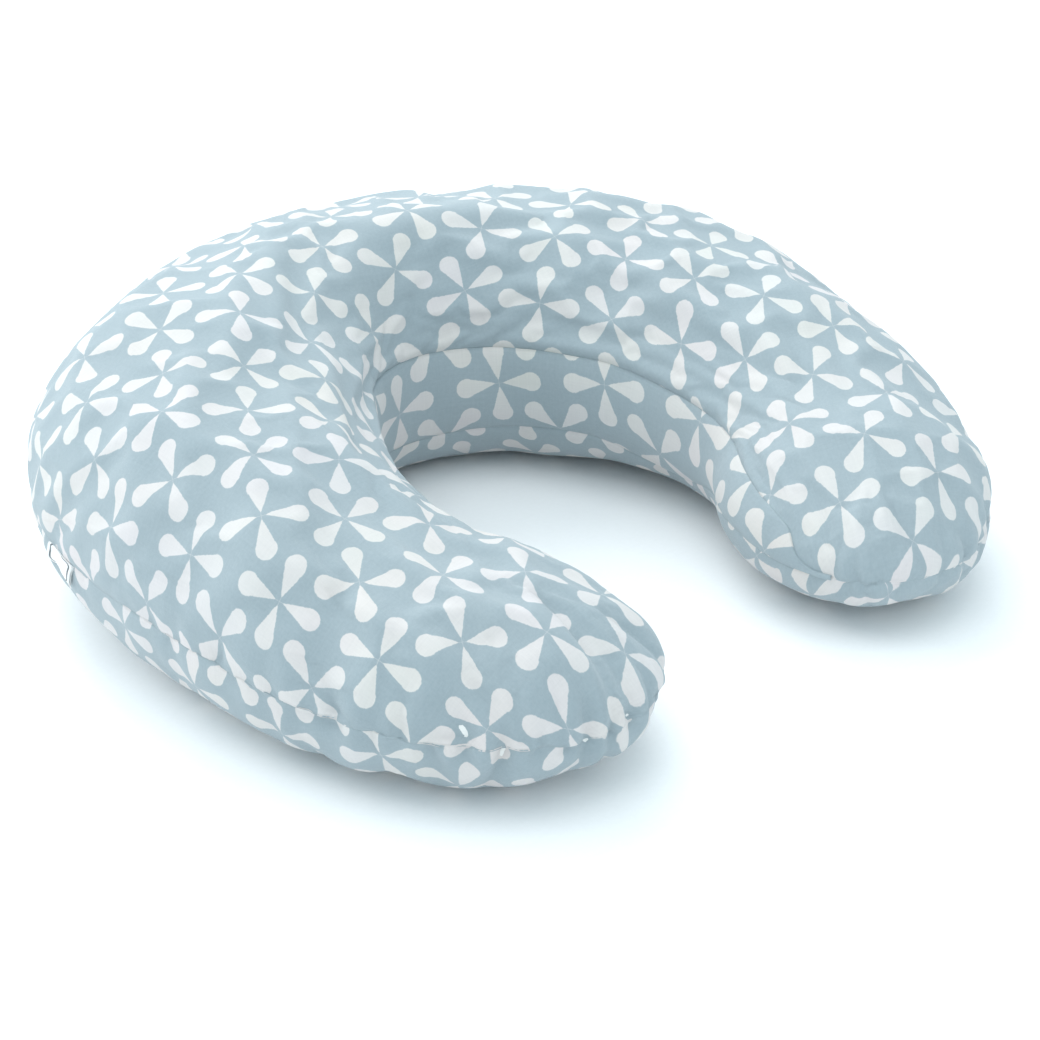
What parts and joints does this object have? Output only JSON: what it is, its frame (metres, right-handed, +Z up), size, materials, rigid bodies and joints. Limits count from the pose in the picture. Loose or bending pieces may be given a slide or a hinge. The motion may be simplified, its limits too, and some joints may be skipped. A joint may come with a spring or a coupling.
{
  "type": "nursing pillow",
  "caption": "C-shaped nursing pillow in a removable printed cotton cover with a gusseted inner wall and a zip at the back, over a fibre-filled inner pillow.",
  "frame": {"origin": "the middle of the bounding box, on the surface that the pillow lies on", "axes": "+Z up, the arms open towards -Y, +X to the right of someone who looks along +Y"},
  "size_m": [0.5811, 0.5455, 0.1829],
  "materials": {
    "printed_cotton": "matte woven cotton, grey-blue with an off-white flower print",
    "sewing_thread": "spun polyester thread",
    "label_satin": "satin ribbon",
    "zip_tape": "woven tape",
    "zip_nylon": "moulded nylon coil",
    "zip_metal": "nickel-plated die casting",
    "plain_cotton": "plain white cotton",
    "polyester_fibre": "hollow fibre filling",
    "white_thread": "spun polyester thread"
  },
  "bodies": {
    "pillow": {"cover_top_panel": "printed_cotton", "cover_bottom_panel": "printed_cotton", "cover_inner_gusset": "printed_cotton", "outer_seam_thread_left": "sewing_thread", "outer_seam_thread_right": "sewing_thread", "gusset_top_stitch": "sewing_thread", "gusset_bottom_stitch": "sewing_thread", "side_label": "label_satin", "care_label": "label_satin", "zip_tape_upper": "zip_tape", "zip_tape_lower": "zip_tape", "zip_chain_upper": "zip_nylon", "zip_chain_lower": "zip_nylon", "zip_top_stop_upper": "zip_metal", "zip_top_stop_lower": "zip_metal", "zip_bottom_stop": "zip_metal", "zip_bartack_left": "sewing_thread", "zip_bartack_right": "sewing_thread", "inner_case_top": "plain_cotton", "inner_case_bottom": "plain_cotton", "fibre_fill": "polyester_fibre", "inner_case_thread_left": "white_thread", "inner_case_thread_right": "white_thread", "inner_case_closing_stitch": "white_thread"},
    "zip_slider": {"zip_slider_body": "zip_metal"},
    "pull_tab": {"zip_pull_tab": "zip_metal"}
  },
  "joints": [
    {"name": "zip_slider_travel", "type": "hinge", "parent": "pillow", "child": "zip_slider", "pos_m": [0, -0.04583, 0.075], "axis": [0, 0, 1], "range_deg": [0, 73.4]},
    {"name": "pull_tab_swing", "type": "hinge", "parent": "zip_slider", "child": "pull_tab", "pos_m": [0.19195, 0.21134, 0.075], "axis": [0, 0, -1], "range_deg": [0, 170]}
  ]
}
